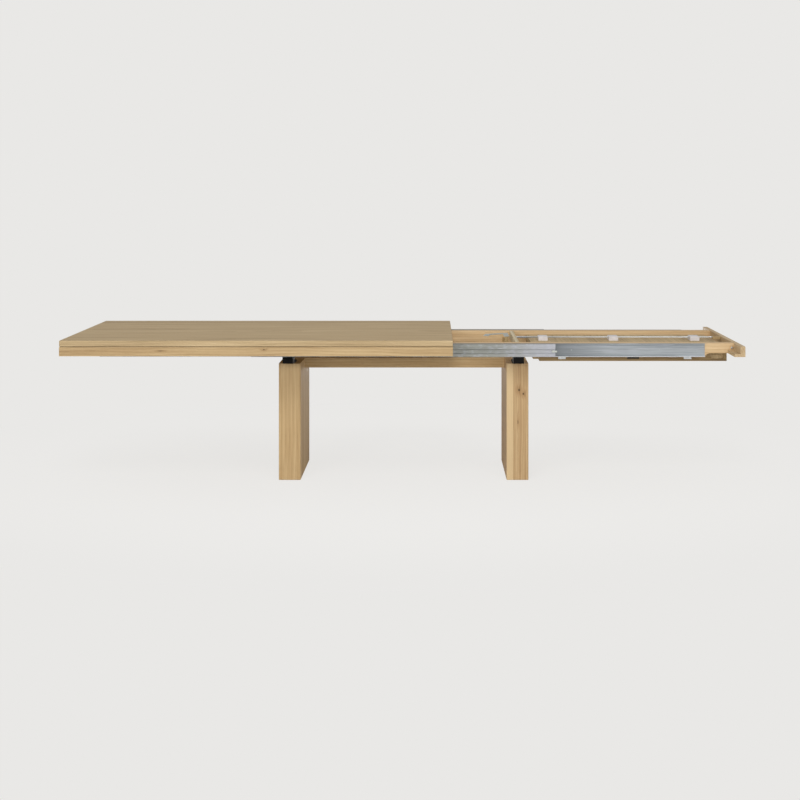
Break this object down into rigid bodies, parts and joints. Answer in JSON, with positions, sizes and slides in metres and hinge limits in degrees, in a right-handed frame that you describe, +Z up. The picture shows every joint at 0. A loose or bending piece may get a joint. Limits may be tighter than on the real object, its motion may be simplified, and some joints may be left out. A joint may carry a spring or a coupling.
{
  "type": "draw leaf table",
  "caption": "Oak draw leaf table on slab legs, pulled open on aluminium slides, its spare leaves stored in a tray under the open end.",
  "frame": {"origin": "on the floor, under the middle of the fully open table's bounding box", "axes": "+X along the table to the end that holds the stored leaves, +Y to its back, +Z up"},
  "size_m": [3.49, 1, 0.76],
  "materials": {
    "oak": "oiled oak",
    "aluminium": "mill finish extrusion",
    "black_steel": "black powder coat",
    "bright_steel": "zinc plated",
    "white_plastic": "moulded plastic",
    "dark_rubber": "matt"
  },
  "bodies": {
    "base": {"bracket_left_back": "black_steel", "bracket_left_front": "black_steel", "bracket_right_back": "black_steel", "bracket_right_front": "black_steel", "fixed_rail_back": "aluminium", "fixed_rail_front": "aluminium", "leg_left": "oak", "leg_right": "oak", "rail_stop_left_back": "bright_steel", "rail_stop_left_front": "bright_steel", "rail_stop_right_back": "bright_steel", "rail_stop_right_front": "bright_steel", "stretcher_beam": "oak"},
    "left_frame": {"apron_back": "oak", "apron_front": "oak", "left_crossbar": "oak", "left_end_board": "oak", "left_runner_back": "aluminium", "left_runner_front": "aluminium", "left_shoe_inner_back": "white_plastic", "left_shoe_inner_front": "white_plastic", "left_shoe_outer_back": "white_plastic", "left_shoe_outer_front": "white_plastic", "left_side_rail_back": "oak", "left_side_rail_front": "oak", "table_top": "oak"},
    "right_frame": {"hold_down_rod": "bright_steel", "inner_crossbar": "oak", "leaf_pad_1": "white_plastic", "leaf_pad_2": "white_plastic", "leaf_pad_3": "white_plastic", "leaf_tray": "oak", "lever_post": "oak", "lever_strap": "bright_steel", "right_end_board": "oak", "right_runner_back": "aluminium", "right_runner_front": "aluminium", "right_shoe_inner_back": "white_plastic", "right_shoe_inner_front": "white_plastic", "right_shoe_outer_back": "white_plastic", "right_shoe_outer_front": "white_plastic", "right_side_rail_back": "oak", "right_side_rail_front": "oak", "rod_crossbar": "oak", "rod_socket": "oak", "stored_leaf_1": "oak", "stored_leaf_2": "oak", "stored_leaf_3": "oak", "tray_bumper_back": "dark_rubber", "tray_bumper_front": "dark_rubber", "tray_end_block": "oak", "tray_hanger_inner_back": "bright_steel", "tray_hanger_inner_front": "bright_steel", "tray_hanger_outer_back": "bright_steel", "tray_hanger_outer_front": "bright_steel", "tray_side_back": "oak", "tray_side_front": "oak"},
    "turn_lever": {"lever_pin": "bright_steel", "turn_lever": "bright_steel"}
  },
  "joints": [
    {"name": "left_extension", "type": "slide", "parent": "base", "child": "left_frame", "axis": [1, 0, 0], "range_m": [0, 0.745]},
    {"name": "right_extension", "type": "slide", "parent": "base", "child": "right_frame", "axis": [-1, 0, 0], "range_m": [0, 0.745]},
    {"name": "lever_turn", "type": "hinge", "parent": "right_frame", "child": "turn_lever", "pos_m": [0.555, 0, 0.726], "axis": [0, 0, 1], "range_deg": [0, 90]}
  ]
}
